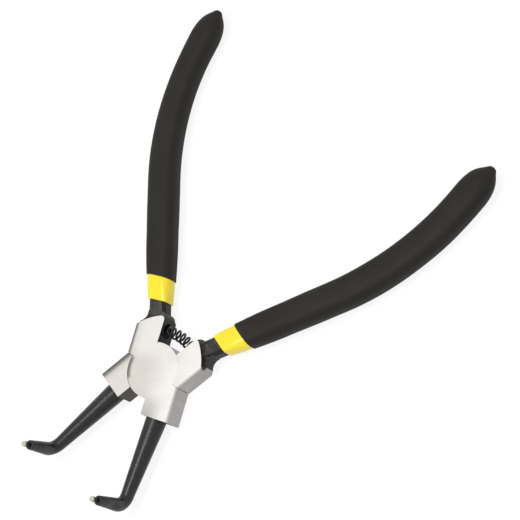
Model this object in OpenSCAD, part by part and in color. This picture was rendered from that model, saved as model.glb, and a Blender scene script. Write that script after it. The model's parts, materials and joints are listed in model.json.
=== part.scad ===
// Bent-tip pliers for internal retaining rings.
// Two forged halves cross in a lap joint, so that squeezing the handles brings the tips together.
// Each half is drawn closed, its handle to +X and its jaw to -X, and is then swung open about the
// pivot. The pivot axis is Z, the back of the head lies on z = 0, handles point to +Y, tips to +Z.

/* [Head] */
// Thickness of the ground head
head_t = 8.4; // [7:0.1:10]
// Radius of the round lap of each half
lap_r = 9.7; // [9:0.1:10.4]
// Travel of one half against the other, from open to closed
open_angle = 40; // [30:1:44]
// Pivot to the ground outer face of the shoulder
shoulder_x = 11.4; // [10.8:0.1:12.5]
// Centre line to the inner face of the shoulder
shoulder_gap = 1.3; // [0.8:0.1:2]
// Radius of the ground face's top edge
crown_r = 23.1; // [20:0.1:26]
// How far that edge's centre lies beyond the centre line
crown_back = 3.2; // [2:0.1:4.5]
// How far it lies below the pivot
crown_drop = 3.6; // [3:0.1:4.2]
// Round where the top edge meets the inner face
crown_corner_r = 1.3; // [0.5:0.1:2.4]
// Pivot to the outer face of the jaw block
block_x = 11.2; // [10.6:0.1:12]
// Centre line to the inner face of the jaw block
block_gap = 0.42; // [0.2:0.02:1]
// Pivot down to the end of the jaw block, at the jaw's root
block_y = 15.6; // [15:0.1:18]
// Width of the rolled-off edge of the ground faces
roll_w = 0.9; // [0.6:0.1:1.8]
// Radius of that roll
roll_r = 3; // [1.9:0.1:4]

/* [Forging] */
// Thickness of the black forging behind the ground face
forge_t = 6.7; // [6:0.1:6.9]
// Radius of the forging's top edge about the pivot
forge_r = 20.9; // [20:0.1:22]
// Round of the forging's inner top corner
forge_corner_r = 2.8; // [1.5:0.1:3.2]
// Radius of the hollow where the neck leaves the shoulder
neck_hollow_r = 3.5; // [3:0.1:4.6]
// Distance from the band back to the middle of that hollow
neck_hollow_back = 2.9; // [2.5:0.1:3.5]
// Width of the neck bar
neck_w = 6.45; // [5.5:0.05:7]
// Thickness of the neck bar
neck_t = 5.8; // [5:0.1:6.2]
// Chamfer along the edges of the neck bar
neck_chamfer = 1.1; // [0.4:0.1:1.5]
// Thickness of the web that fills the hollow
web_t = 4.6; // [3:0.1:5.4]

/* [Jaw] */
// Sideways place of the jaw's axis where it leaves the block
jaw_x = 4.55; // [4.2:0.05:5]
// Lean of the jaw towards the centre line
jaw_lean = 4.5; // [3:0.1:5]
// Slope of the jaw towards the front
jaw_rise = 1.3; // [0:0.1:3]
// Length of the round jaw from the block to the bend
jaw_len = 26.8; // [20:0.1:30]
// Diameter of the jaw at the block
jaw_root_d = 7.25; // [6.4:0.05:7.4]
// Diameter of the jaw at the bend
jaw_bend_d = 4.55; // [3.8:0.05:4.8]
// Radius of the bend along its centre
bend_r = 4; // [3.2:0.1:5]
// Angle of the bend
bend_angle = 85.2; // [80:0.1:90]
// Inward tilt of the upturned end
tip_lean = 3.4; // [2:0.2:5]
// Length of the upturned end above the bend
tip_len = 11.3; // [8:0.1:14]
// Diameter of the upturned end at its shoulder
tip_d = 3.2; // [2.8:0.1:3.6]
// Round of that shoulder
tip_round = 0.5; // [0.2:0.1:0.6]

/* [Tip pins] */
// Diameter of the pin that enters the ring's eyelet
pin_d = 1.8; // [1.5:0.1:2]
// Length of the pin that stands free
pin_free = 3.5; // [2:0.1:4]
// Diameter of the pin's thinner shank in the jaw
shank_d = 1.4; // [1.2:0.05:1.45]
// Length of that shank
pin_seat = 4; // [3:0.1:5]
// Chamfer of the pin's end
pin_chamfer = 0.15; // [0.05:0.05:0.3]

/* [Pivot] */
// Diameter of the pivot rivet
rivet_d = 6; // [5:0.1:7]
// Diameter of its flush heads
rivet_head_d = 8.4; // [7.6:0.1:9]
// Depth of the cone under each head
rivet_cone = 1.2; // [0.8:0.1:1.6]

/* [Return spring] */
// Outer diameter of the coil
spring_d = 4.1; // [3.6:0.1:4.4]
// Diameter of the wire
wire_d = 0.75; // [0.5:0.05:0.75]
// Distance between turns in the open span
spring_pitch = 2; // [1.4:0.05:2.2]
// Angle at which the wire starts in the front seat
spring_start = 230; // [0:5:355]
// Distance between turns at the closed ends
closed_pitch = 0.8; // [0.75:0.05:1]
// Distance of the coil from the pivot, where it leaves its seat
spring_y = 14.4; // [14:0.1:15]
// Depth of each seat
seat_depth = 4.5; // [3:0.1:5]
// Room round the coil in its seat
seat_play = 0.5; // [0.1:0.05:0.6]

/* [Handle] */
// Sideways place of the handle's axis where the band begins
handle_x = 7.3; // [7:0.05:7.6]
// Height above the pivot where the band begins
handle_y = 23.8; // [23.5:0.1:26]
// Angle of the straight part of the handle
handle_splay = 17; // [16:0.5:18]
// Straight length from the band's start
handle_straight = 44.5; // [36:0.5:50]
// Radius of the curved part
handle_bow_r = 96.7; // [85:0.1:115]
// Angle through which the handle curves back
handle_bow = 29.6; // [24:0.1:33]
// Straight length after the curve, to the end of the grip
handle_end = 15.4; // [12:0.1:18]

/* [Sleeve] */
// Length of the bright band that the grip leaves bare
band_len = 8.5; // [6:0.1:12]
// Width of the sleeve under the grip
sleeve_w = 9.1; // [8.4:0.1:9.4]
// Height of the sleeve under the grip
sleeve_h = 8; // [7.4:0.1:8.2]
// Slant of the edges that the dipping left on the sleeve and the grip
dip_slant = 18; // [0:1:24]
// Wall of the sleeve at its thin front edge
sleeve_lip = 0.5; // [0.3:0.05:0.7]

/* [Grip] */
// Greatest width of the grip
grip_w = 10.8; // [10.4:0.1:12]
// Greatest height of the grip
grip_h = 9.6; // [9.3:0.1:11]
// Length of the grip's pointed end
grip_dome = 11; // [9:0.1:12]

/* [Clearances] */
// Gap between the two laps
lap_gap = 0.04; // [0.02:0.01:0.1]
// Gap round each lap
recess_gap = 0.08; // [0.06:0.01:0.3]
// Gap left between the stop faces when open
stop_gap = 0.1; // [0.02:0.01:0.2]
// Radial play of the rivet in the half that turns
pivot_play = 0.05; // [0.02:0.01:0.08]
// Gap round pieces that sit tight in one body
fit_gap = 0.02; // [0.01:0.01:0.04]
// Gap between the layers of the handle
layer_gap = 0.05; // [0.03:0.01:0.1]

/* [Hidden] */
$fn = 96;
small_fn = 32;

// One overrun serves every cut.
over = 1;

// Head
mid_z = head_t / 2;
half_swing = open_angle / 2;
lap_t = mid_z - lap_gap / 2;
stop_shift = stop_gap / 2 / cos(half_swing);
slant = tan(jaw_lean);
shoulder_free = acos(shoulder_gap / lap_r);
block_free = acos(block_gap / lap_r);

// Handle
path_bow = handle_bow_r * handle_bow * PI / 180;
path_len = handle_straight + path_bow + handle_end;
tang_len = path_len - grip_dome;
sleeve_len = path_len - grip_dome / 2;
loft_sides = 20;
oval_share = 0.5;
round_share = 0.36;
square_share = 0.2;
lip_steps = 4;
bow_steps = 5;
dome_steps = 3;
dome_angle = 75;

// Size of the grip along its length: share of the way to the pointed end, share of the full size
grip_shares = [[0, 0.905], [0.06, 0.93], [0.16, 0.97], [0.3, 1], [0.42, 1], [0.54, 0.99], [0.66, 0.97],
    [0.78, 0.95], [0.89, 0.94], [1, 0.955]];

// The same over the pointed end
point_shares = [[0.25, 0.93], [0.45, 0.86], [0.62, 0.74], [0.75, 0.58], [0.86, 0.4], [0.94, 0.28], [0.98, 0.2],
    [1, 0.08]];

// Forging
forge_z = mid_z - forge_t / 2;
web_z = mid_z - web_t / 2;
neck_back = norm([handle_x, handle_y]) - lap_r - neck_w;
hollow_edge = handle_at(-neck_hollow_back) + side(handle_splay, neck_w / 2);
hollow_at = hollow_edge + side(handle_splay, neck_hollow_r);

// Jaw
jaw_into = block_y - lap_r;

// A curved length runs a little way into the straight ones at its ends and lies just under their skin,
// so that the solids cross.
join_sink = fit_gap / 2;
bend_lap = 1;
bow_lap = 0.3;

// Spring
coil_r = (spring_d - wire_d) / 2;
seat_r = spring_d / 2 + seat_play;
mouth = swing([-shoulder_gap, spring_y], half_swing);
arc_r = -mouth.x / sin(half_swing);
arc_y = mouth.y - arc_r * cos(half_swing);
arc_len = arc_r * open_angle * PI / 180;
seat_run = seat_depth - wire_d;
closed_turns = 2;
open_turns = (arc_len + 2 * seat_run - 2 * closed_turns * closed_pitch) / spring_pitch;
wire_steps = 12;
wire_sides = 6;

// A point turned about the pivot
function swing(p, a) = [p.x * cos(a) - p.y * sin(a), p.x * sin(a) + p.y * cos(a)];

// A step to the right of a direction that leans by angle a from +Y
function side(a, d) = [d * cos(a), -d * sin(a)];

// Lean of the handle's axis at distance s from the start of the band
function lean_at(s) = handle_splay - min(max(s - handle_straight, 0) / path_bow, 1) * handle_bow;

// Place of the handle's axis at that distance
function handle_at(s) =
    let (
        a = handle_splay,
        b = lean_at(s),
        first = [handle_x, handle_y] + min(s, handle_straight) * [sin(a), cos(a)],
        centre = first - side(a, handle_bow_r),
        rest = max(s - handle_straight - path_bow, 0)
    )
    s <= handle_straight ? first : centre + side(b, handle_bow_r) + rest * [sin(b), cos(b)];

// Outline of a soft bar: an ellipse whose corners are filled out as share falls below one half
function bar_ring(w, h, share) =
    [for (i = [0:loft_sides - 1])
        let (a = i * 360 / loft_sides, c = cos(a), s = sin(a))
        [w / 2 * sign(c) * pow(abs(c), 2 * share), h / 2 * sign(s) * pow(abs(s), 2 * share)]];

// Rings of points joined into one closed skin
module skin(rings) {
    n = len(rings[0]);
    last = len(rings) - 1;
    sides = [for (k = [0:last - 1], i = [0:n - 1], t = [0, 1])
        let (a = k * n + i, b = k * n + (i + 1) % n)
        t == 0 ? [a, b, b + n] : [a, b + n, a + n]];
    ends = [[for (i = [0:n - 1]) n - 1 - i], [for (i = [0:n - 1]) last * n + i]];
    polyhedron([for (r = rings) each r], concat(sides, ends), convexity = 6);
}

// Slant of the rings along the handle: full over the band, fading out beyond it
function slant_at(s) = dip_slant * (1 - min(max(s / band_len - 1, 0), 2) / 2);

// Rings of a bar along the handle. Each row of stations holds a distance, a width, a height and a
// corner share.
function handle_rings(stations, grow = 0) =
    [for (row = stations)
        let (
            at = handle_at(row[0]),
            a = lean_at(row[0]),
            fall = tan(slant_at(row[0]))
        )
        [for (p = bar_ring(row[1] + 2 * grow, row[2] + 2 * grow, row[3]))
            let (run = p.x * fall)
            [at.x + p.x * cos(a) + run * sin(a), at.y - p.x * sin(a) + run * cos(a), mid_z + p.y]]];

// The closed half, mirrored for the front, swung to its open place
module place_front() {
    rotate([0, 0, half_swing])
        mirror([1, 0, 0])
            children();
}

module place_rear() {
    rotate([0, 0, -half_swing])
        children();
}

// Plan of the shoulder above the pivot: its top is an arc, its inner corner is rounded
module shoulder_plan(centre, top_r, corner_r) {
    stop = stop_shift + shoulder_x * tan(half_swing);
    x = shoulder_gap + corner_r;
    y = centre.y + sqrt(pow(top_r - corner_r, 2) - pow(x - centre.x, 2));
    difference() {
        intersection() {
            polygon([[shoulder_gap, shoulder_gap * tan(half_swing) + stop_shift], [shoulder_x, stop],
                [shoulder_x, top_r], [shoulder_gap, top_r]]);
            translate(centre)
                circle(r = top_r);
        }
        translate([shoulder_gap - over, y])
            square([corner_r + over, top_r]);
    }
    translate([x, y])
        circle(r = corner_r);
}

module ground_shoulder() {
    shoulder_plan([-crown_back, -crown_drop], crown_r, crown_corner_r);
}

// Plan of the jaw block below the pivot
module block_plan() {
    stop = stop_shift + block_x * tan(half_swing);
    polygon([[-block_gap, -block_gap * tan(half_swing) - stop_shift], [-block_x, -stop],
        [-block_x, -block_y - (block_x - jaw_x) * slant],
        [-block_gap, -block_y + (jaw_x - block_gap) * slant]]);
}

// Plan of the black forging that stands out above the ground shoulder, on its inner side
module forge_plan() {
    intersection() {
        shoulder_plan([0, 0], forge_r, forge_corner_r);
        square([handle_x - neck_w / 2, forge_r]);
    }
}

// Plan of the web between the neck's outer edge and the shoulder
module web_plan() {
    difference() {
        polygon([handle_at(-neck_hollow_back), hollow_edge, [shoulder_x, hollow_at.y], [shoulder_x, lap_r],
            [handle_x, lap_r]]);
        translate(hollow_at)
            circle(r = neck_hollow_r);
    }
}

// Square section with cut corners, centred
module bar_section(w, t, c) {
    polygon([[c - w / 2, -t / 2], [w / 2 - c, -t / 2], [w / 2, c - t / 2], [w / 2, t / 2 - c],
        [w / 2 - c, t / 2], [c - w / 2, t / 2], [-w / 2, t / 2 - c], [-w / 2, c - t / 2]]);
}

// The bar that starts as the neck and runs through the handle: straight, curved, straight
module tang(grow = 0) {
    w = neck_w + 2 * grow;
    t = neck_t + 2 * grow;
    end = tang_len - handle_straight - path_bow + grow;
    bow_at = handle_at(handle_straight) - side(handle_splay, handle_bow_r);
    end_at = handle_at(handle_straight + path_bow);
    translate([handle_x, handle_y, mid_z])
        rotate([-90, 0, -handle_splay])
            translate([0, 0, -neck_back])
                linear_extrude(neck_back + handle_straight)
                    bar_section(w, t, neck_chamfer);
    translate([bow_at.x, bow_at.y, mid_z])
        rotate([0, 0, -handle_splay - bow_lap])
            rotate_extrude(angle = handle_bow + 2 * bow_lap)
                translate([handle_bow_r, 0])
                    bar_section(w - 2 * join_sink, t - 2 * join_sink, neck_chamfer);
    translate([end_at.x, end_at.y, mid_z])
        rotate([-90, 0, handle_bow - handle_splay])
            linear_extrude(end)
                bar_section(w, t, neck_chamfer);
}

// Profile that rolls off an edge: the corner lies on the origin, the solid to -X and -Y
module roll_profile() {
    difference() {
        translate([-roll_w, -roll_r])
            square([roll_w + over, roll_r + over]);
        translate([-roll_w, -roll_r])
            circle(r = roll_r, $fn = small_fn);
    }
}

// Rolls both long edges of an outer face at x, from y = 0 over the given length
module roll_face(x, length) {
    translate([x, length, head_t])
        rotate([90, 0, 0])
            linear_extrude(length)
                roll_profile();
    translate([x, 0, 0])
        rotate([-90, 0, 0])
            linear_extrude(length)
                roll_profile();
}

// Rolls the lap's free edge on its outer side, from angle a over the angle span
module roll_lap(a, span) {
    rotate([0, 0, a])
        rotate_extrude(angle = span)
            translate([lap_r, 0])
                roll_profile();
}

// Round jaw: cone, bend and upturned end, with the socket for its pin
module jaw() {
    jaw_frame()
        translate([-jaw_into, 0, 0])
            rotate([0, 90, 0])
                cylinder(h = jaw_len + jaw_into, d1 = jaw_root_d, d2 = jaw_bend_d);
    bend_frame()
        rotate([90, 90 + bend_lap, 0])
            rotate_extrude(angle = bend_angle + 2 * bend_lap, $fn = 3 * small_fn)
                translate([bend_r, 0])
                    circle(r = jaw_bend_d / 2 - join_sink, $fn = 2 * small_fn);
    tip_frame()
        rotate_extrude($fn = 2 * small_fn)
            difference() {
                polygon([[0, 0], [jaw_bend_d / 2, 0], [tip_d / 2, tip_len], [0, tip_len]]);
                translate([tip_d / 2 - tip_round, tip_len - tip_round])
                    difference() {
                        square([jaw_bend_d, jaw_bend_d]);
                        circle(r = tip_round, $fn = small_fn);
                    }
            }
}

// The jaw's own frame: its root, with +X the way it points and +Z the way it bends
module jaw_frame() {
    translate([-jaw_x, -block_y, mid_z])
        rotate([0, -jaw_rise, jaw_lean - 90])
            children();
}

// Centre of the bend
module bend_frame() {
    jaw_frame()
        translate([jaw_len, 0, 0])
            rotate([-tip_lean, 0, 0])
                translate([0, 0, bend_r])
                    children();
}

// Axis of the upturned end, from the end of the bend
module tip_frame() {
    bend_frame()
        rotate([0, 90 - bend_angle, 0])
            translate([bend_r, 0, 0])
                children();
}

// One half in its closed place, with its lap in the layer that starts at lap_z
module forged_half(lap_z, bore_r) {
    difference() {
        union() {
            translate([0, 0, lap_z])
                linear_extrude(lap_t) {
                    circle(r = lap_r);
                    ground_shoulder();
                    block_plan();
                }
            linear_extrude(head_t)
                difference() {
                    union() {
                        ground_shoulder();
                        block_plan();
                    }
                    circle(r = lap_r + recess_gap);
                }
        }
        roll_face(shoulder_x, crown_r);
        rotate([0, 0, 180])
            roll_face(block_x, block_y + block_x);
        translate([0, 0, lap_z > 0 ? head_t : 0])
            mirror([0, 0, lap_z > 0 ? 0 : 1]) {
                roll_lap(block_free - 180, half_swing + 180 - block_free);
                roll_lap(shoulder_free, half_swing + 180 - shoulder_free);
            }
        spring_seat();
        translate([0, 0, -over])
            cylinder(h = head_t + 2 * over, r = bore_r);
        rivet_cones(bore_r - rivet_d / 2);
    }
    difference() {
        union() {
            translate([0, 0, forge_z])
                linear_extrude(forge_t)
                    difference() {
                        forge_plan();
                        circle(r = lap_r + recess_gap);
                    }
            translate([0, 0, web_z])
                linear_extrude(web_t)
                    web_plan();
            tang();
        }
        spring_seat();
    }
    difference() {
        jaw();
        tip_frame()
            translate([0, 0, tip_len - pin_seat])
                cylinder(h = pin_seat + over, r = shank_d / 2 + fit_gap);
        translate([0, 0, -over])
            cylinder(h = head_t + 2 * over, r = lap_r + recess_gap);
    }
}

// Blind bore in the shoulder's inner face
module spring_seat() {
    translate([shoulder_gap - over, spring_y, mid_z])
        rotate([0, 90, 0])
            cylinder(h = seat_depth + over, r = seat_r);
}

// The cones under both rivet heads, grown by a gap
module rivet_cones(gap) {
    translate([0, 0, head_t - rivet_cone])
        cylinder(h = rivet_cone, r1 = rivet_d / 2 + gap, r2 = rivet_head_d / 2 + gap);
    cylinder(h = rivet_cone, r1 = rivet_head_d / 2 + gap, r2 = rivet_d / 2 + gap);
}

module front_half() {
    color("gainsboro")
        place_front()
            forged_half(mid_z + lap_gap / 2, rivet_d / 2 + fit_gap);
}

module rear_half() {
    color("gainsboro")
        place_rear()
            forged_half(0, rivet_d / 2 + pivot_play);
}

module pivot_rivet() {
    color("silver") {
        cylinder(h = head_t, d = rivet_d);
        rivet_cones(0);
    }
}

// Lean of the coil's axis at distance s from the bottom of the front seat
function coil_lean(s) = half_swing * (1 - 2 * min(max((s - seat_run) / arc_len, 0), 1));

// Direction from the coil's axis to the wire, after turning by an angle
function coil_out(s, turn) =
    let (a = coil_lean(s))
    [-cos(turn) * sin(a), cos(turn) * cos(a), sin(turn)];

// Centre of the wire there
function coil_point(s, turn) =
    let (
        a = coil_lean(s),
        span = s - seat_run,
        run = min(span, 0) + max(span - arc_len, 0)
    )
    [run * cos(a) - arc_r * sin(a), run * sin(a) + arc_y + arc_r * cos(a), mid_z]
    + coil_r * coil_out(s, turn);

// Distance along the coil's axis after a number of turns: close at both ends, open between
function coil_run(turns) =
    min(turns, closed_turns) * closed_pitch
    + min(max(turns - closed_turns, 0), open_turns) * spring_pitch
    + max(turns - closed_turns - open_turns, 0) * closed_pitch;

// Angle of the wire at one of its rings
function wire_turn(k) = spring_start + k * 360 / wire_steps;

module return_spring() {
    steps = floor((2 * closed_turns + open_turns) * wire_steps);
    points = [for (k = [0:steps]) coil_point(coil_run(k / wire_steps), wire_turn(k))];
    rings = [for (k = [0:steps])
        let (
            along = points[min(k + 1, steps)] - points[max(k - 1, 0)],
            u = coil_out(coil_run(k / wire_steps), wire_turn(k)),
            v = cross(along, u) / norm(cross(along, u))
        )
        [for (i = [0:wire_sides - 1])
            let (a = i * 360 / wire_sides)
            points[k] + wire_d / 2 * (cos(a) * u + sin(a) * v)]];
    color("black")
        skin(rings);
}

// Pin pressed into the upturned end: its shank goes down the socket, its shoulder sits on the jaw
module tip_pin() {
    end = pin_seat + pin_free;
    tip_frame()
        translate([0, 0, tip_len - pin_seat])
            rotate_extrude()
                polygon([[0, 0], [shank_d / 2, 0], [shank_d / 2, pin_seat + fit_gap],
                    [pin_d / 2, pin_seat + fit_gap], [pin_d / 2, end - pin_chamfer],
                    [pin_d / 2 - pin_chamfer, end], [0, end]]);
}

module front_tip_pin() {
    color("silver")
        place_front()
            tip_pin();
}

module rear_tip_pin() {
    color("silver")
        place_rear()
            tip_pin();
}

// Distance, width, height and corner share along the sleeve
function sleeve_stations() =
    let (
        w0 = neck_w + 2 * sleeve_lip,
        h0 = neck_t + 2 * sleeve_lip,
        dome = sleeve_len - tang_len
    )
    concat(
        [for (k = [0:lip_steps])
            let (f = sin(90 * k / lip_steps))
            [band_len * k / lip_steps, w0 + f * (sleeve_w - w0), h0 + f * (sleeve_h - h0),
                square_share + f * (round_share - square_share)]],
        [for (k = [0:bow_steps])
            [handle_straight + path_bow * k / bow_steps, sleeve_w, sleeve_h, round_share]],
        [for (k = [0:dome_steps])
            let (a = dome_angle * k / dome_steps, f = cos(a))
            [tang_len + dome * sin(a), sleeve_w * f, sleeve_h * f, round_share]]);

module sleeve() {
    difference() {
        skin(handle_rings(sleeve_stations()));
        tang(layer_gap);
    }
}

module front_sleeve() {
    color("yellow")
        place_front()
            sleeve();
}

module rear_sleeve() {
    color("yellow")
        place_rear()
            sleeve();
}

// Distance, width, height and corner share along the grip
function grip_stations() =
    let (body = path_len - grip_dome - band_len)
    concat(
        [for (row = grip_shares) [band_len + body * row[0], grip_w * row[1], grip_h * row[1], round_share]],
        [for (row = point_shares)
            [path_len - grip_dome * (1 - row[0]), grip_w * row[1], grip_h * row[1],
                round_share + (oval_share - round_share) * row[0]]]);

// The skin runs up the hollow from its closed end, over the lip and down the outside.
module grip() {
    hollow = handle_rings(sleeve_stations(), layer_gap);
    outside = handle_rings(grip_stations());
    skin(concat([for (k = [len(hollow) - 1:-1:lip_steps]) hollow[k]], outside));
}

module front_grip() {
    color("dimgray")
        place_front()
            grip();
}

module rear_grip() {
    color("dimgray")
        place_rear()
            grip();
}

front_half();
rear_half();
pivot_rivet();
return_spring();
front_tip_pin();
rear_tip_pin();
front_sleeve();
rear_sleeve();
front_grip();
rear_grip();
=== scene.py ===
import json
import math

import bmesh
import bpy
import numpy as np
from mathutils import Matrix, Vector

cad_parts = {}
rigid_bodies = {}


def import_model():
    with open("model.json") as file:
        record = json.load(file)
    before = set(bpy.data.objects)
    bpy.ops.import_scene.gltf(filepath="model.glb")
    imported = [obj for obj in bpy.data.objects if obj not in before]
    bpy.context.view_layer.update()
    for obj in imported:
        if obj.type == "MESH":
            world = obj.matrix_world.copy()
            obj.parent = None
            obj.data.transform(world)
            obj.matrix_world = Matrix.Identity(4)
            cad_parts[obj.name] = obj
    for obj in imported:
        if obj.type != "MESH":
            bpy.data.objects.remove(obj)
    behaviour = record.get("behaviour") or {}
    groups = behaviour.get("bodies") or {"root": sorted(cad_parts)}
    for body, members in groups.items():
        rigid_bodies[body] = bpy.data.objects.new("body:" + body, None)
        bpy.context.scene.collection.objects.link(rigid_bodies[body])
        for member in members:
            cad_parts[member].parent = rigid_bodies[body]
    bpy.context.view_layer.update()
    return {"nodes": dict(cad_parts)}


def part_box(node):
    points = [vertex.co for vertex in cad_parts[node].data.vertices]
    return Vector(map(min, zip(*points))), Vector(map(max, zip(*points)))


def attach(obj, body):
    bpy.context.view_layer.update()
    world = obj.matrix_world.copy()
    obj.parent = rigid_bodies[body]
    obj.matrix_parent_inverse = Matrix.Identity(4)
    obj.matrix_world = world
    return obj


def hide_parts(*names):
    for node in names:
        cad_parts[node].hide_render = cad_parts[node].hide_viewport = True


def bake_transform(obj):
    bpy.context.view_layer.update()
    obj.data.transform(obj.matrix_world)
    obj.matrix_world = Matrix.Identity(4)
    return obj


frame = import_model()
MM = 0.001

# Sizes repeated from the part's source, in millimetres and degrees
HEAD_T = 8.4
MID = HEAD_T / 2
SWING = 20
LAP_R = 9.7
SHOULDER_X, SHOULDER_GAP = 11.4, 1.3
BLOCK_X, BLOCK_Y, BLOCK_GAP = 11.2, 15.6, 0.42
JAW_X, JAW_LEAN, JAW_RISE, JAW_LEN = 4.55, 4.5, 1.3, 26.8
ROOT_D, BEND_D, BEND_R, BEND = 7.25, 4.55, 4, 85.2
TIP_LEAN, TIP_LEN, TIP_D, TIP_ROUND = 3.4, 11.3, 3.2, 0.5
SOCKET_R, SOCKET = 0.72, 4
HANDLE_X, HANDLE_Y, SPLAY, STRAIGHT = 7.3, 23.8, 17, 44.5
BOW_R, BOW, HANDLE_END = 96.7, 29.6, 15.4
NECK_W, NECK_T = 6.45, 5.8
BAND, SLEEVE_W, SLEEVE_H, DIP, LIP = 8.5, 9.1, 8, 18, 0.5
GRIP_W, GRIP_H, DOME = 10.8, 9.6, 11
ROUND, SQUARE = 0.36, 0.2
SPRING_D, WIRE_D, PITCH, CLOSED_PITCH, CLOSED_TURNS = 4.1, 0.75, 2, 0.8, 2
SPRING_Y, SEAT, SPRING_START = 14.4, 4.5, 230
PATH_BOW = BOW_R * math.radians(BOW)
PATH_LEN = STRAIGHT + PATH_BOW + HANDLE_END
TANG_LEN = PATH_LEN - DOME
GRIP_SHARES = [(0, 0.905), (0.06, 0.93), (0.16, 0.97), (0.3, 1), (0.42, 1), (0.54, 0.99),
               (0.66, 0.97), (0.78, 0.95), (0.89, 0.94), (1, 0.955)]
POINT_SHARES = [(0.25, 0.93), (0.45, 0.86), (0.62, 0.74), (0.75, 0.58), (0.86, 0.4),
                (0.94, 0.28), (0.98, 0.2), (1, 0.08)]

# How much thicker the dip is than in the solids, in mm, by its share of the body's length: near
# the band on both grips, and on the rear grip's inner and outer sides. Fitted to the photo's
# outline, so it may also make up for small errors of the camera or of the handle's path.
BAND_SWELL = [(0, 0), (0.05, 0.13), (0.1, 0.16), (0.2, 0), (1.13, 0)]
REAR_INNER = [(0, 0), (0.36, 0), (0.54, 0.4), (0.8, 0.66), (0.9, 0.62), (0.99, 0.47),
              (1.06, 0.47), (1.1, 0.2), (1.13, 0)]
REAR_OUTER = [(0, 0), (0.66, 0), (0.84, 0.28), (1.0, 0.32), (1.08, 0.1), (1.13, 0)]

# The direction in which the rear half's pin points; the front one is its mirror image
PIN_AXIS = (0.040624, -0.07466, 0.996381)

# Where one finish meets another on a closed half, in mm
NECK_Y = 15.2        # the shoulder's ground side turns into the crown edge
LAP_TOP = 3.6        # the shoulder's polish turns into the lap's
ROLL_DEPTH = 0.59    # how far the rolled edges of the polished faces run down
ROUND_WALL = 0.2     # how far outside the lap its walls and recesses reach

# How finely the skins are divided
CONE_RINGS, BEND_RINGS, TIP_RINGS, ROUND_RINGS, JAW_SIDES = 24, 24, 12, 6, 64
BAR_SIDES, WIRE_SIDES, WIRE_RINGS = 72, 14, 36
FINE_ANGLE = 50      # sharper edges than this stay sharp on the smooth skins

# The solved camera: its axes and its place in mm
SENSOR, LENS = 36, 124.15
CAM_RIGHT = (0.71374706, 0.55243497, -0.43055863)
CAM_UP = (-0.47234584, 0.83355527, 0.28648739)
CAM_BACK = (0.51716007, -0.00110695, 0.85588798)
CAM_AT = (319.13, 49.96, 517.84)

# Studio, in metres and watts
FLOOR_DROP, FLOOR_HALF = 0.0004, 6
FLOOR_BOUNCE, FLOOR_SHADE, FLOOR_GLOW = 0.8, 0.16, 0.87
WORLD_LIGHT, WORLD_SEEN = 0.62, 1.0
KEY_X, KEY_Y, KEY_Z, KEY_SIZE, KEY_POWER = -0.03, -0.1, 0.95, (0.2, 0.62), 4.2

# Colours that more than one material uses
GREY_POLISH, WHITE_POLISH = (0.765, 0.715, 0.67), (0.98, 0.96, 0.925)
EVEN_TONE = (0.68, 0.68, 0.68)
# Painted edge shade on the polished steel, and the lighter grey on the front neck flats
SHADE_AND_NECK_GREY = (0.12, 0.115, 0.105)


def turned(x, y, degrees):
    c, s = math.cos(math.radians(degrees)), math.sin(math.radians(degrees))
    return x * c - y * s, x * s + y * c


def placed(x, y, front):
    """A point of the closed half, swung to its open place. The front half is mirrored first."""
    return turned(-x, y, SWING) if front else turned(x, y, -SWING)


def closed(x, y, front):
    """The way back: a point of the open part in its half's closed frame."""
    if front:
        x, y = turned(x, y, -SWING)
        return -x, y
    return turned(x, y, SWING)


def body_of(front):
    return "front" if front else "rear"


def add_to_scene(name, data):
    obj = bpy.data.objects.new(name, data)
    bpy.context.scene.collection.objects.link(obj)
    return obj


def make_camera():
    data = bpy.data.cameras.new("camera")
    data.sensor_width, data.lens = SENSOR, LENS
    data.clip_start, data.clip_end = 0.05, 10
    cam = add_to_scene("camera", data)
    place = Matrix((CAM_RIGHT, CAM_UP, CAM_BACK)).transposed().to_4x4()
    place.translation = Vector(CAM_AT) * MM
    cam.matrix_world = place
    bpy.context.scene.camera = cam


# Node helpers

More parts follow.
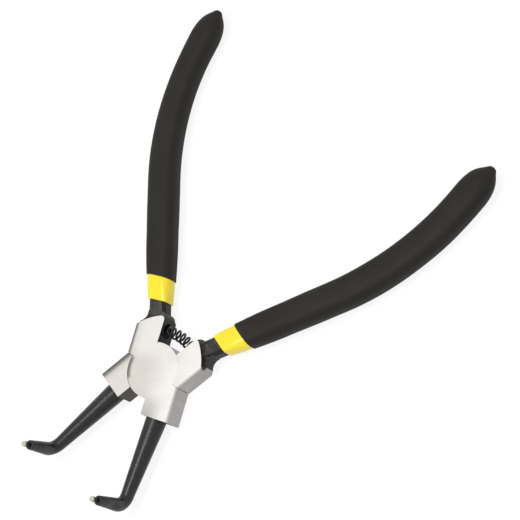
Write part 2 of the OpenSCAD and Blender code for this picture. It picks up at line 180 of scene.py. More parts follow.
class Nodes:
    """A short way to write a node tree."""

    def __init__(self, owner):
        owner.use_nodes = True
        self.tree = owner.node_tree

    def put(self, value, socket):
        """Link a node's output to a socket, or write a plain value into it."""
        if isinstance(value, bpy.types.NodeSocket):
            self.tree.links.new(value, socket)
        elif socket.type == "RGBA" and len(value) == 3:
            socket.default_value = (*value, 1)
        else:
            socket.default_value = value

    def add(self, kind, inputs=None, **props):
        node = self.tree.nodes.new("ShaderNode" + kind)
        for key, value in props.items():
            setattr(node, key, value)
        for key, value in (inputs or {}).items():
            self.put(value, node.inputs[key])
        return node

    def coords(self):
        return self.add("TexCoord").outputs["Object"]

    def attribute(self, name, output="Fac"):
        return self.add("Attribute", attribute_name=name).outputs[output]

    def split(self, vector):
        return self.add("SeparateXYZ", {"Vector": vector}).outputs

    def noise(self, scale, detail, rough, stretch=None):
        vector = self.coords()
        if stretch:
            vector = self.add("Mapping", {"Vector": vector, "Scale": stretch}).outputs["Vector"]
        return self.add("TexNoise", {"Vector": vector, "Scale": scale, "Detail": detail,
                                     "Roughness": rough}).outputs["Fac"]

    def grey(self, fac, *stops):
        """A grey ramp through stops given as (place, value)."""
        node = self.add("ValToRGB", {"Fac": fac})
        for element, (at, value) in zip(node.color_ramp.elements, stops):
            element.position = at
            element.color = (value, value, value, 1)
        return node.outputs["Color"]

    def mix(self, fac, a, b):
        node = self.add("Mix", {0: fac, 6: a, 7: b}, data_type="RGBA", blend_type="MIX")
        return node.outputs[2]

    def over(self, fac, start, end, a, b, most=1):
        """Colour a, turning to b by the share most where fac rises from start to end."""
        return self.mix(self.grey(fac, (start, 0), (end, most)), a, b)

    def math(self, op, a, b=0.5):
        return self.add("Math", {0: a, 1: b}, operation=op).outputs[0]

    def product(self, *factors):
        total = factors[0]
        for f in factors[1:]:
            total = self.math("MULTIPLY", total, f)
        return total

    def highest(self, *values):
        top = values[0]
        for v in values[1:]:
            top = self.math("MAXIMUM", top, v)
        return top

    def toward(self, x, y, degrees, scale=1):
        """How far a point lies in one direction, counted from +X, times scale."""
        c, s = math.cos(math.radians(degrees)), math.sin(math.radians(degrees))
        return self.math("ADD", self.product(x, c * scale), self.product(y, s * scale))

    def ease(self, value, start, end, low=0.0, high=1.0):
        """A smooth step from low at start to high at end."""
        node = self.add("MapRange", {"Value": value, "From Min": start, "From Max": end,
                                     "To Min": low, "To Max": high},
                        interpolation_type="SMOOTHSTEP")
        return node.outputs["Result"]

    def painted_edge_shade(self, value, edge, narrow, wide):
        """A band of painted shade along an edge over a broad faint one, each (start, end, share).
        """
        return self.highest(*(self.ease(value, edge + start, edge + end, 0, share)
                              for start, end, share in (narrow, wide)))

    def bump(self, height, strength, distance, normal=None):
        inputs = {"Height": height, "Strength": strength, "Distance": distance}
        if normal:
            inputs["Normal"] = normal
        return self.add("Bump", inputs).outputs["Normal"]

    def soft_edge(self, radius):
        return self.add("Bevel", {"Radius": radius}, samples=6).outputs["Normal"]

    def seen(self):
        """1 for rays from the camera, from reflections and through glass, 0 for the others."""
        rays = self.add("LightPath").outputs
        return self.highest(rays["Is Camera Ray"], rays["Is Glossy Ray"],
                            rays["Is Transmission Ray"])


class Finish(Nodes):
    """A material with the standard shader."""

    SOCKETS = {"color": "Base Color", "rough": "Roughness", "metal": "Metallic",
               "normal": "Normal", "specular": "Specular IOR Level", "coat": "Coat Weight",
               "coat_rough": "Coat Roughness"}

    def __init__(self, name):
        self.mat = bpy.data.materials.new(name)
        super().__init__(self.mat)
        self.shader = self.tree.nodes["Principled BSDF"]

    def set(self, **values):
        for key, value in values.items():
            self.put(value, self.shader.inputs[self.SOCKETS[key]])
        return self.mat


# Materials. Lengths in the noise and bump nodes are in metres, those on the halves in mm.

def across_head(n):
    """A scale from the left of the open head to its right, in mm."""
    x, y, _ = n.split(n.coords())
    return n.toward(x, y, 15, 1 / MM)


def polish(n, tone):
    """The colour of the polish from grey (tone 0) to white, and its grain."""
    grain = n.noise(900, 4, 0.6, stretch=(0.12, 1, 1))
    patch = n.noise(170, 3, 0.55)
    base = n.mix(tone, GREY_POLISH, WHITE_POLISH)
    base = n.over(patch, 0.35, 0.65, base, (0.58, 0.55, 0.51), 0.12)
    return n.over(grain, 0.35, 0.8, base, (0.68, 0.65, 0.61), 0.2), grain


def polish_rough(n, grain):
    return n.grey(grain, (0.2, 0.27), (0.8, 0.37))


def polished_steel():
    """Ground and polished faces. Tones and dark edges are painted shade, set by place to match the
    photo.
    """
    n = Finish("polished_steel")
    x, y, _ = n.split(n.attribute("half", "Vector"))
    front = n.attribute("front")
    rear = n.math("SUBTRACT", 1.0, front)
    r = n.math("SQRT", n.math("ADD", n.product(x, x), n.product(y, y)))
    upper = n.math("GREATER_THAN", y, LAP_TOP)
    lower = n.math("LESS_THAN", y, LAP_TOP)
    outward = n.math("DIVIDE", n.toward(x, y, -5), r)
    inward = n.math("DIVIDE", n.toward(x, y, 170), r)

    # The tone, half by half: painted shade that makes the head darker towards its left
    across = across_head(n)
    lap = n.mix(n.ease(y, -7, -12), n.ease(across, -3, 9, 0, 0.95), n.ease(x, -2, -9.5, 0.3, 0.95))
    front_tone = n.mix(n.ease(y, 1.5, 8), lap, EVEN_TONE)
    rear_tone = n.mix(n.ease(x, -3, 3), (0.28, 0.28, 0.28), n.ease(across, 7, 15, 0.6, 0.95))
    base, grain = polish(n, n.mix(front, rear_tone, front_tone))

    # Painted shade along edges: outer side of the shoulder, left of the disc, inner and outer
    # sides of the blocks
    shoulder = n.painted_edge_shade(x, SHOULDER_X, (-1.9, -0.1, 0.93), (-5, 0, 0.16))
    disc = n.product(n.ease(r, LAP_R - 1.8, LAP_R - 0.5, 0, 0.78), n.ease(outward, 0.87, 0.965))
    inner = n.product(n.ease(y, -6, -16), n.ease(x, -BLOCK_GAP - 8.6, -BLOCK_GAP - 1.8, 0, 0.4))
    block = n.painted_edge_shade(x, -BLOCK_X, (3, 0.4, 0.94), (5, 0, 0.25))
    wear_and_painted_shade = n.highest(n.product(front, upper, shoulder), n.product(front, lower, disc),
                     n.product(front, lower, inner), n.product(rear, block))
    base = n.mix(wear_and_painted_shade, base, SHADE_AND_NECK_GREY)

    # Painted shade: the rolled edges on the right turn dark grey, and the bright rim of the disc
    # is mixed towards a pale grey to dull its highlight
    edge = n.highest(n.product(front, lower, n.ease(x, -BLOCK_X + 0.85, -BLOCK_X + 0.35)),
                     n.product(rear, upper, n.ease(x, SHOULDER_X - 0.85, SHOULDER_X - 0.35)))
    rim = n.product(front, lower, n.ease(r, LAP_R - 1, LAP_R - 0.6),
                    n.ease(inward, 0.82, 0.95, 0, 0.5))
    base = n.mix(edge, base, (0.58, 0.565, 0.55))
    base = n.mix(rim, base, (0.9, 0.885, 0.86))
    rough = n.mix(edge, polish_rough(n, grain), (0.5, 0.5, 0.5))
    normal = n.bump(grain, 0.12, 0.00002, n.soft_edge(0.00006))
    return n.set(color=base, rough=rough, metal=1.0, normal=normal)


def rivet_steel():
    """The rivet is ground flush with the disc and looks the same, with the same painted shade
    towards the left.
    """
    n = Finish("rivet_steel")
    x, y, _ = n.split(n.coords())
    up = n.toward(x, y, 90 + SWING, 1 / MM)
    lap = n.ease(across_head(n), -3, 9, 0, 0.95)
    base, grain = polish(n, n.mix(n.ease(up, 1.5, 8), lap, EVEN_TONE))
    return n.set(color=base, rough=polish_rough(n, grain), metal=1.0,
                 normal=n.bump(grain, 0.12, 0.00002))


def ground_steel():
    """The sides of shoulders and blocks, ground across."""
    n = Finish("ground_steel")
    lines = n.noise(1500, 3, 0.6, stretch=(1, 1, 0.08))
    patch = n.noise(180, 2, 0.5)
    base = n.over(patch, 0.3, 0.7, (0.37, 0.352, 0.345), (0.42, 0.402, 0.395))
    base = n.over(lines, 0.4, 0.75, base, (0.31, 0.297, 0.29), 0.4)
    normal = n.bump(lines, 0.2, 0.00002, n.soft_edge(0.00012))
    return n.set(color=base, rough=0.42, metal=0.9, normal=normal)


def scaled_steel():
    """The dark faces that the grinding didn't reach: inner faces and ends of the blocks."""
    n = Finish("scaled_steel")
    patch = n.noise(500, 4, 0.6)
    base = n.over(patch, 0.35, 0.7, (0.052, 0.052, 0.045), (0.078, 0.078, 0.068))
    normal = n.bump(patch, 0.2, 0.00003, n.soft_edge(0.00015))
    return n.set(color=base, rough=0.5, metal=0.5, normal=normal)


def black_forging():
    """Black oxide on the as-forged sides, lighter towards the back face and up the neck."""
    n = Finish("black_forging")
    grains = n.noise(1400, 5, 0.7)
    patch = n.noise(420, 3, 0.6)
    _, y, z = n.split(n.attribute("half", "Vector"))
    lighter_zone = n.highest(n.ease(z, 3.4, 2.2, 0, 0.5), n.ease(y, 12, 17, 0, 0.35))
    base = n.over(patch, 0.35, 0.7, (0.006, 0.006, 0.006), (0.018, 0.018, 0.017))
    base = n.mix(lighter_zone, base, (0.07, 0.069, 0.066))
    base = n.over(grains, 0.54, 0.70, base, (0.09, 0.09, 0.086), 0.5)
    rough = n.grey(patch, (0.3, 0.36), (0.7, 0.5))
    normal = n.bump(grains, 0.35, 0.00005, n.soft_edge(0.0003))
    return n.set(color=base, rough=rough, specular=0.12, normal=normal)


def tumbled_forging():
    """The raised flats of the forging, lighter from rubbing, with bright specks."""
    n = Finish("tumbled_forging")
    grains = n.noise(1500, 5, 0.75)
    patch = n.noise(380, 3, 0.6)
    x, _, _ = n.split(n.attribute("half", "Vector"))
    front = n.attribute("front")
    base = n.over(patch, 0.35, 0.7, (0.024, 0.023, 0.022), (0.062, 0.060, 0.055))
    # On the front half the neck flat is lighter towards its inner side and darker towards its
    # outer side
    base = n.mix(n.product(front, n.ease(x, 8, 4, 0, 0.55)), base, SHADE_AND_NECK_GREY)
    base = n.mix(n.product(front, n.ease(x, 7, 9.5, 0, 0.6)), base, (0.012, 0.012, 0.011))
    base = n.over(grains, 0.50, 0.66, base, (0.2, 0.19, 0.17), 0.7)
    rough = n.grey(patch, (0.3, 0.4), (0.7, 0.55))
    normal = n.bump(grains, 0.45, 0.00006, n.soft_edge(0.0003))
    return n.set(color=base, rough=rough, metal=0.3, normal=normal)


def black_jaw():
    """Glossy black oxide on the round jaws, matt from wear and speckled on their upturned ends."""
    n = Finish("black_jaw")
    grains = n.noise(1500, 4, 0.7)
    patch = n.noise(300, 3, 0.6)
    lumps = n.noise(650, 2, 0.5)
    _, _, z = n.split(n.coords())
    wear_and_painted_shade = n.ease(z, 0.007, 0.011)
    dull = n.product(wear_and_painted_shade, n.grey(patch, (0.45, 0.1), (0.65, 0.8)))
    base = n.over(patch, 0.35, 0.75, (0.003, 0.003, 0.003), (0.009, 0.009, 0.0087))
    base = n.over(grains, 0.56, 0.72, base, (0.05, 0.05, 0.048), 0.4)
    base = n.mix(dull, base, (0.05, 0.049, 0.045))
    rough = n.mix(wear_and_painted_shade, n.grey(patch, (0.3, 0.28), (0.7, 0.36)), (0.5, 0.5, 0.5))
    normal = n.bump(lumps, 0.4, 0.00022, n.bump(grains, 0.3, 0.00005))
    return n.set(color=base, rough=rough, specular=0.4, normal=normal)


def pin_steel():
    """Dark sides and a bright ground end."""
    n = Finish("pin_steel")
    lines = n.noise(1800, 3, 0.6, stretch=(1, 1, 0.1))
    bright = n.ease(n.attribute("depth"), 0.4, 0.25)
    dark = n.over(lines, 0.3, 0.7, (0.018, 0.018, 0.018), (0.045, 0.044, 0.042))
    light = n.over(lines, 0.3, 0.7, (0.5, 0.45, 0.4), (0.6, 0.545, 0.49))
    return n.set(color=n.mix(bright, dark, light), rough=0.35, metal=0.6,
                 normal=n.bump(lines, 0.1, 0.00002))


def spring_steel():
    n = Finish("spring_steel")
    patch = n.noise(700, 3, 0.6)
    base = n.over(patch, 0.3, 0.7, (0.003, 0.003, 0.003), (0.012, 0.012, 0.012))
    return n.set(color=base, rough=n.grey(patch, (0.3, 0.22), (0.7, 0.4)), specular=0.25)


def yellow_vinyl():
    n = Finish("yellow_vinyl")
    patch = n.noise(140, 2, 0.5)
    wave = n.noise(45, 1, 0.4)
    base = n.over(patch, 0.3, 0.7, (1.0, 0.775, 0.003), (1.0, 0.82, 0.01))
    return n.set(color=base, rough=0.24, normal=n.bump(wave, 0.25, 0.0004), coat=0.25,
                 coat_rough=0.2)


def black_vinyl():
    n = Finish("black_vinyl")
    fine = n.noise(2600, 4, 0.7)
    pits = n.noise(650, 2, 0.6)
    broad = n.noise(60, 2, 0.5)
    base = n.over(broad, 0.3, 0.7, (0.011, 0.0098, 0.0075), (0.017, 0.0153, 0.012))
    base = n.over(fine, 0.52, 0.68, base, (0.05, 0.048, 0.044), 0.45)
    rough = n.grey(fine, (0.3, 0.52), (0.7, 0.68))
    normal = n.bump(fine, 0.25, 0.00004, n.bump(pits, 0.18, 0.00015))
    return n.set(color=base, rough=rough, specular=0.2, normal=normal)


MATS = {f.__name__: f() for f in (
    polished_steel, rivet_steel, ground_steel, scaled_steel, black_forging, tumbled_forging,
    black_jaw, pin_steel, spring_steel, yellow_vinyl, black_vinyl)}


# Meshes

def mesh_of(bm, name, *materials):
    mesh = bpy.data.meshes.new(name)
    bm.to_mesh(mesh)
    bm.free()
    for material in materials:
        mesh.materials.append(MATS[material])
    return mesh


def new_object(name, mesh, front, replaced):
    obj = add_to_scene(name, mesh)
    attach(obj, body_of(front))
    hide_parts(replaced)
    return obj


def smooth(mesh, degrees):
    for p in mesh.polygons:
        p.use_smooth = True
    mesh.set_sharp_from_angle(angle=math.radians(degrees))


def copy_of_node(node):
    """The carried solid's mesh, with its flat faces put together again."""
    bm = bmesh.new()
    bm.from_mesh(frame["nodes"][node].data)
    bmesh.ops.remove_doubles(bm, verts=bm.verts, dist=2e-6)
    bmesh.ops.dissolve_limit(bm, angle_limit=math.radians(0.4), verts=bm.verts, edges=bm.edges)
    return bm


def close_skin(bm, rows, flip=False):
    """Faces between rings of vertices, and a cap on each end."""
    sides = len(rows[0])
    for a, b in zip(rows[:-1], rows[1:]):
        for i in range(sides):
            j = (i + 1) % sides
            bm.faces.new((a[j], a[i], b[i], b[j]) if flip else (a[i], a[j], b[j], b[i]))
    bm.faces.new(rows[0] if flip else rows[0][::-1])
    bm.faces.new(rows[-1][::-1] if flip else rows[-1])
    bmesh.ops.recalc_face_normals(bm, faces=bm.faces)


# The two forged halves

HALF_MATS = ["polished_steel", "ground_steel", "scaled_steel", "black_forging", "tumbled_forging"]


def past_block(x, y):
    """How far a point of the closed half lies beyond the end of the jaw block."""
    lean = math.radians(JAW_LEAN)
    return (x + JAW_X) * math.sin(lean) - (y + BLOCK_Y) * math.cos(lean)


def half_zone(centre, normal, front):
    """Which finish a face of a half has, from its place and direction in the closed half."""
    x, y = closed(centre.x / MM, centre.y / MM, front)
    nx, ny = closed(normal.x, normal.y, front)
    z = centre.z / MM
    flat = abs(normal.z)
    drop = min(abs(z - HEAD_T), abs(z))
    r = math.hypot(x, y)
    if past_block(x, y) > 0.02:
        return "jaw"
    if flat > 0.6 and drop < ROLL_DEPTH or flat > 0.99 and r < LAP_R + ROUND_WALL + 0.1:
        return "polished_steel"
    shoulder_side = x > SHOULDER_X - 0.8 and nx > 0.55 and y < NECK_Y
    block_side = x < -BLOCK_X + 0.1 and nx < -0.9
    if shoulder_side or block_side:
        return "ground_steel"
    if r < LAP_R + ROUND_WALL and flat < 0.5:
        return "polished_steel" if nx * x + ny * y < 0 else "ground_steel"
    if x < 0 and y < 0:
        return "scaled_steel"
    return "tumbled_forging" if flat > 0.95 else "black_forging"


def give_place(mesh, front):
    """Two attributes for the materials: the place in the closed half, in mm, and which half."""
    places = []
    for v in mesh.vertices:
        places += [*closed(v.co.x / MM, v.co.y / MM, front), v.co.z / MM]
    mesh.attributes.new("half", "FLOAT_VECTOR", "POINT").data.foreach_set("vector", places)
    which = [float(front)] * len(mesh.vertices)
    mesh.attributes.new("front", "FLOAT", "POINT").data.foreach_set("value", which)


def steady_normals(mesh, limit=30):
    """Large flat faces keep their own direction, and curved faces beside them run out in it."""
    large = [d.value for d in mesh.attributes["large"].data]
    near = [[] for _ in mesh.vertices]
    for p in mesh.polygons:
        for v in p.vertices:
            near[v].append(p.index)
    direction = [p.normal.copy() for p in mesh.polygons]
    area = [p.area for p in mesh.polygons]
    close = math.cos(math.radians(limit))
    normals = []
    for p in mesh.polygons:
        for v in p.vertices:
            own = direction[p.index]
            if large[p.index]:
                normals.append(own)
                continue
            around = [q for q in near[v] if direction[q].dot(own) > close]
            flats = [q for q in around if large[q]]
            if flats:
                normals.append(direction[flats[0]])
            else:
                total = sum((direction[q] * area[q] for q in around), Vector())
                normals.append(total.normalized())
    mesh.normals_split_custom_set(normals)
    mesh.attributes.remove(mesh.attributes["large"])


def make_half(node, front):
    """The carried half without its jaw, each face with its own finish."""
    bm = copy_of_node(node)
    jaw = []
    for f in bm.faces:
        zone = half_zone(f.calc_center_median(), f.normal, front)
        if zone == "jaw":
            jaw.append(f)
        else:
            f.material_index = HALF_MATS.index(zone)
    bmesh.ops.delete(bm, geom=jaw, context="FACES")
    filled = bmesh.ops.holes_fill(bm, edges=[e for e in bm.edges if e.is_boundary], sides=0)
    for f in filled["faces"]:
        f.material_index = HALF_MATS.index("scaled_steel")
    bmesh.ops.recalc_face_normals(bm, faces=bm.faces)
    layer = bm.faces.layers.int.new("large")
    for f in bm.faces:
        f[layer] = f.calc_area() > 6e-6 or abs(f.normal.z) > 0.9999
    bmesh.ops.triangulate(bm, faces=bm.faces)
    mesh = mesh_of(bm, node + "_forging", *HALF_MATS)
    give_place(mesh, front)
    smooth(mesh, 180)
    steady_normals(mesh)
    new_object(node + "_forging", mesh, front, node)


def make_jaw(node, front):
    """The round jaw as one smooth skin: cone, bend, upturned end and the socket for the pin."""
    lean, rise, tilt = math.radians(JAW_LEAN), math.radians(JAW_RISE), math.radians(TIP_LEAN)

    def turned_out(x, y, z):
        """A direction in the jaw's own frame, +X the way it points, in the closed half."""
        x, z = x * math.cos(rise) - z * math.sin(rise), x * math.sin(rise) + z * math.cos(rise)
        return Vector((x * math.sin(lean) + y * math.cos(lean),
                       y * math.sin(lean) - x * math.cos(lean), z))

    along = turned_out(1, 0, 0)
    up = turned_out(0, math.sin(tilt), math.cos(tilt))
    across = up.cross(along)
    root = Vector((-JAW_X, -BLOCK_Y, MID))
    bend = root + along * JAW_LEN + up * BEND_R
    sink = 0.4  # how far the skin starts inside the block
    rings = []
    for k in range(CONE_RINGS + 1):
        s = -sink + (JAW_LEN + sink) * k / CONE_RINGS
        rings.append((root + along * s, along, (ROOT_D + (BEND_D - ROOT_D) * s / JAW_LEN) / 2))
    for k in range(1, BEND_RINGS + 1):
        a = math.radians(BEND) * k / BEND_RINGS
        rings.append((bend + BEND_R * (math.sin(a) * along - math.cos(a) * up),
                      math.cos(a) * along + math.sin(a) * up, BEND_D / 2))
    start, end, _ = rings[-1]
    taper = (TIP_D - BEND_D) / 2 / TIP_LEN
    for k in range(1, TIP_RINGS + 1):
        s = (TIP_LEN - TIP_ROUND) * k / TIP_RINGS
        rings.append((start + end * s, end, BEND_D / 2 + taper * s))
    for k in range(1, ROUND_RINGS + 1):
        a = math.pi / 2 * k / ROUND_RINGS
        rings.append((start + end * (TIP_LEN - TIP_ROUND * (1 - math.sin(a))), end,
                      TIP_D / 2 - TIP_ROUND * (1 - math.cos(a))))
    for s in (TIP_LEN, TIP_LEN - SOCKET):
        rings.append((start + end * s, end, SOCKET_R))

    bm = bmesh.new()
    rows = []
    for centre, direction, radius in rings:
        other = direction.cross(across)
        row = []
        for i in range(JAW_SIDES):
            a = 2 * math.pi * i / JAW_SIDES
            p = centre + radius * (math.cos(a) * across + math.sin(a) * other)
            x, y = placed(p.x, p.y, front)
            row.append(bm.verts.new(Vector((x, y, p.z)) * MM))
        rows.append(row)
    close_skin(bm, rows)
    mesh = mesh_of(bm, node + "_jaw", "black_jaw")
    smooth(mesh, FINE_ANGLE)
    new_object(node + "_jaw", mesh, front, node)


def make_pin(node, front):
    bm = copy_of_node(node)
    bmesh.ops.triangulate(bm, faces=bm.faces)
    mesh = mesh_of(bm, node + "_steel", "pin_steel")
    axis = Vector(PIN_AXIS)
    if front:
        axis.x = -axis.x
    heights = [v.co.dot(axis) for v in mesh.vertices]
    depths = [(max(heights) - h) / MM for h in heights]
    mesh.attributes.new("depth", "FLOAT", "POINT").data.foreach_set("value", depths)
    smooth(mesh, 28)
    for p in mesh.polygons:
        p.use_smooth = p.normal.dot(axis) < 0.999
    new_object(node + "_steel", mesh, front, node)


# Handle

def step(lean, d):
    return d * math.cos(math.radians(lean)), -d * math.sin(math.radians(lean))


def lean_at(s):
    return SPLAY - min(max(s - STRAIGHT, 0) / PATH_BOW, 1) * BOW


def handle_at(s):
    """The handle's axis at distance s from the band's front edge, in the closed half."""
    a, b = SPLAY, lean_at(s)
    run = min(s, STRAIGHT)
    x = HANDLE_X + run * math.sin(math.radians(a))
    y = HANDLE_Y + run * math.cos(math.radians(a))
    if s <= STRAIGHT:
        return x, y
    cx, cy = x - step(a, BOW_R)[0], y - step(a, BOW_R)[1]
    rest = max(s - STRAIGHT - PATH_BOW, 0)
    return (cx + step(b, BOW_R)[0] + rest * math.sin(math.radians(b)),
            cy + step(b, BOW_R)[1] + rest * math.cos(math.radians(b)))


def fall_at(s):
    """How far a ring slants along the handle per millimetre across it. It fades past the band."""
    return math.tan(math.radians(DIP * (1 - min(max(s / BAND - 1, 0), 2) / 2)))


def handle_point(s, px, pz, front):
    """A point px beside and pz above the handle's axis, in the open part."""
    x, y = handle_at(s)
    a = lean_at(s)
    run = px * fall_at(s)
    x += px * math.cos(math.radians(a)) + run * math.sin(math.radians(a))
    y += -px * math.sin(math.radians(a)) + run * math.cos(math.radians(a))
    x, y = placed(x, y, front)
    return Vector((x, y, MID + pz)) * MM


def bar_ring(w, h, share):
    """A section between a rounded rectangle (small share) and an ellipse (share 0.5)."""
    ring = []
    for i in range(BAR_SIDES):
        a = 2 * math.pi * i / BAR_SIDES
        c, s = math.cos(a), math.sin(a)
        ring.append((w / 2 * math.copysign(abs(c) ** (2 * share), c),
                     h / 2 * math.copysign(abs(s) ** (2 * share), s)))
    return ring


def eased(table, at):
    """Monotone cubic through the rows of a table, so that a loft has no creases."""
    xs = np.array([r[0] for r in table], float)
    ys = np.array([r[1] for r in table], float)
    d = np.diff(ys) / np.diff(xs)
    inside = [0 if a * b <= 0 else 2 * a * b / (a + b) for a, b in zip(d[:-1], d[1:])]
    m = np.concatenate(([d[0]], inside, [d[-1]]))
    k = int(np.clip(np.searchsorted(xs, at, side="right") - 1, 0, len(xs) - 2))
    h = xs[k + 1] - xs[k]
    t = (at - xs[k]) / h
    return float((2 * t**3 - 3 * t**2 + 1) * ys[k] + (t**3 - 2 * t**2 + t) * h * m[k]
                 + (-2 * t**3 + 3 * t**2) * ys[k + 1] + (t**3 - t**2) * h * m[k + 1])


def make_dip(node, rings, front, material):
    """A closed skin over rings given as (s, [(x, z), ...])."""
    bm = bmesh.new()
    rows = [[bm.verts.new(handle_point(s, px, pz, front)) for px, pz in ring] for s, ring in rings]
    close_skin(bm, rows, flip=not front)
    mesh = mesh_of(bm, node + "_vinyl", material)
    smooth(mesh, FINE_ANGLE)
    new_object(node + "_vinyl", mesh, front, node)


def sleeve_size(s):
    """Width, height and corner share of the sleeve's outside."""
    w0, h0 = NECK_W + 2 * LIP, NECK_T + 2 * LIP
    if s < BAND:
        f = math.sin(math.pi / 2 * s / BAND)
        return w0 + f * (SLEEVE_W - w0), h0 + f * (SLEEVE_H - h0), SQUARE + f * (ROUND - SQUARE)
    return SLEEVE_W, SLEEVE_H, ROUND


def make_sleeve(node, front):
    """The lip around the neck, from its inside out, then the body and the hidden round end."""
    rings = [(0.9, bar_ring(6.3, 5.95, SQUARE)), (0.05, bar_ring(6.35, 6.0, SQUARE))]
    for s, grow in ((0.0, -0.28), (0.03, -0.12), (0.14, -0.03)):
        w, h, share = sleeve_size(s)
        rings.append((s, bar_ring(w + 2 * grow, h + 2 * grow, share)))
    for s in (*np.linspace(0.3, BAND, 14), *np.linspace(BAND + 2, BAND + 12, 5),
              *np.linspace(BAND + 16, TANG_LEN, 24)):
        rings.append((s, bar_ring(*sleeve_size(s))))
    for a in (20, 40, 58, 72):
        f = math.cos(math.radians(a))
        s = TANG_LEN + DOME / 2 * math.sin(math.radians(a))
        rings.append((s, bar_ring(SLEEVE_W * f, SLEEVE_H * f, ROUND)))
    make_dip(node, rings, front, "yellow_vinyl")


def make_grip(node, front):
    """From the inside out: the hollow over the sleeve, the rounded dip edge, body and point."""
    body = PATH_LEN - DOME - BAND
    table = ([(BAND + body * a, b) for a, b in GRIP_SHARES]
             + [(PATH_LEN - DOME * (1 - a), b) for a, b in POINT_SHARES])
    layer = 0.06  # the gap between sleeve and grip
    rings = []
    for s in (*np.linspace(TANG_LEN, BAND + 12, 30), BAND + 0.4):
        rings.append((s, bar_ring(SLEEVE_W + 2 * layer, SLEEVE_H + 2 * layer, ROUND)))
    w, h = GRIP_W * table[0][1], GRIP_H * table[0][1]
    for ds, grow in ((0.02, -0.26), (0.0, -0.16), (0.05, -0.05), (0.18, 0.0)):
        rings.append((BAND + ds, bar_ring(w + 2 * grow, h + 2 * grow, ROUND)))
    point = PATH_LEN - DOME * (1 - np.sin(np.linspace(0.06, math.pi / 2, 26)))
    for s in (*np.linspace(BAND + 0.6, PATH_LEN - DOME, 60), *point):
        f = eased(table, min(s, PATH_LEN))
        past = max(0, (s - (PATH_LEN - DOME)) / DOME)
        share = ROUND + (0.5 - ROUND) * past
        along = (s - BAND) / body
        width = GRIP_W * f + 2 * eased(BAND_SWELL, along)
        inner, outer = (0, 0) if front else (eased(REAR_INNER, along), eased(REAR_OUTER, along))
        rings.append((s, [(px * (1 + 2 * (inner if px < 0 else outer) / width), pz)
                          for px, pz in bar_ring(width, GRIP_H * f, share)]))
    make_dip(node, rings, front, "black_vinyl")


# Spring

def make_spring():
    """The coil's axis is straight in the two seats and an arc in the gap between them."""
    coil_r = (SPRING_D - WIRE_D) / 2
    mx, my = turned(-SHOULDER_GAP, SPRING_Y, SWING)
    arc_r = -mx / math.sin(math.radians(SWING))
    arc_y = my - arc_r * math.cos(math.radians(SWING))
    arc_len = arc_r * math.radians(2 * SWING)
    seat_run = SEAT - WIRE_D
    open_turns = (arc_len + 2 * seat_run - 2 * CLOSED_TURNS * CLOSED_PITCH) / PITCH
    turns = 2 * CLOSED_TURNS + open_turns

    def run(t):
        """How far along its axis the coil has come after t turns."""
        return (min(t, CLOSED_TURNS) * CLOSED_PITCH
                + min(max(t - CLOSED_TURNS, 0), open_turns) * PITCH
                + max(t - CLOSED_TURNS - open_turns, 0) * CLOSED_PITCH)

    def point(t):
        """The wire's centre after t turns, and its direction from the coil's axis."""
        span = run(t) - seat_run
        lean = math.radians(SWING * (1 - 2 * min(max(span / arc_len, 0), 1)))
        rest = min(span, 0) + max(span - arc_len, 0)
        a = 2 * math.pi * t + math.radians(SPRING_START)
        out = Vector((-math.cos(a) * math.sin(lean), math.cos(a) * math.cos(lean), math.sin(a)))
        axis = Vector((-arc_r * math.sin(lean) + rest * math.cos(lean),
                       arc_y + arc_r * math.cos(lean) + rest * math.sin(lean), MID))
        return (axis + coil_r * out) * MM, out

    count = int(math.floor(turns * WIRE_RINGS / 3)) * 3
    points = [point(k / WIRE_RINGS) for k in range(count + 1)]
    bm = bmesh.new()
    rows = []
    for k, (p, u) in enumerate(points):
        along = points[min(k + 1, count)][0] - points[max(k - 1, 0)][0]
        v = along.cross(u).normalized()
        r = WIRE_D / 2 * MM
        rows.append([bm.verts.new(p + r * (math.cos(a) * u + math.sin(a) * v))
                     for a in (2 * math.pi * i / WIRE_SIDES for i in range(WIRE_SIDES))])
    close_skin(bm, rows)
    mesh = mesh_of(bm, "spring_coil", "spring_steel")
    smooth(mesh, FINE_ANGLE)
    obj = add_to_scene("spring_coil", mesh)
    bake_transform(obj)
    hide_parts("return_spring")


# Studio

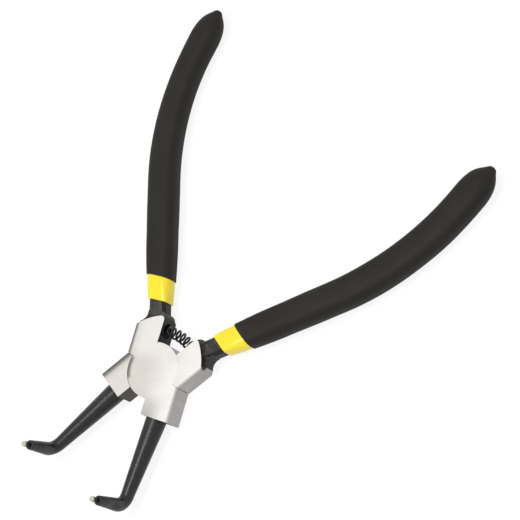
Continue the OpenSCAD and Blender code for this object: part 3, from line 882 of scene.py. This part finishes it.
def make_floor():
    """A pale floor that glows to white in the picture and takes only a faint shadow."""
    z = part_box("front_grip")[0].z - FLOOR_DROP
    s = FLOOR_HALF
    mesh = bpy.data.meshes.new("floor")
    mesh.from_pydata([(-s, -s, z), (s, -s, z), (s, s, z), (-s, s, z)], [], [(0, 1, 2, 3)])
    n = Finish("floor_white")
    n.set(color=(FLOOR_BOUNCE,) * 3, rough=0.9, specular=0.0)
    shade = n.add("BsdfDiffuse", {"Color": (FLOOR_SHADE,) * 3})
    glow = n.add("Emission", {"Color": (1, 1, 1), "Strength": FLOOR_GLOW})
    both = n.add("AddShader", {0: shade.outputs[0], 1: glow.outputs[0]})
    pick = n.add("MixShader", {"Fac": n.seen(), 1: n.shader.outputs[0], 2: both.outputs[0]})
    n.put(pick.outputs[0], n.tree.nodes["Material Output"].inputs["Surface"])
    mesh.materials.append(n.mat)
    add_to_scene("floor", mesh)


def make_world():
    """White all round, a little weaker as a light than as it is seen."""
    world = bpy.data.worlds.new("studio")
    bpy.context.scene.world = world
    n = Nodes(world)
    level = n.add("MapRange", {"Value": n.seen(), "To Min": WORLD_LIGHT, "To Max": WORLD_SEEN})
    back = n.tree.nodes["Background"]
    n.put(level.outputs["Result"], back.inputs["Strength"])
    n.put((1, 1, 1), back.inputs["Color"])


def make_key():
    """One long lamp above. Under it the ground halves and the rivet clip to white from above,
    so it lights everything else and they are left to the pale world."""
    data = bpy.data.lights.new("key", "AREA")
    data.shape = "RECTANGLE"
    data.size, data.size_y = KEY_SIZE
    data.energy = KEY_POWER
    key = add_to_scene("key", data)
    key.location = (KEY_X, KEY_Y, KEY_Z)
    key.rotation_mode = "QUATERNION"
    key.rotation_quaternion = Vector((0, 0, -1)).to_track_quat("-Z", "Y")
    lit = bpy.data.collections.new("lit_by_key")
    for obj in bpy.context.scene.objects:
        if obj.type == "MESH" and not obj.name.endswith("_forging") and obj is not rivet:
            lit.objects.link(obj)
    key.light_linking.receiver_collection = lit


make_camera()
for make, kind in ((make_half, "_half"), (make_jaw, "_half"), (make_pin, "_tip_pin"),
                   (make_sleeve, "_sleeve"), (make_grip, "_grip")):
    make("front" + kind, True)
    make("rear" + kind, False)
make_spring()
rivet = frame["nodes"]["pivot_rivet"]
rivet.data.materials.clear()
rivet.data.materials.append(MATS["rivet_steel"])
make_floor()
make_world()
make_key()
bpy.context.scene.view_settings.view_transform = "Standard"
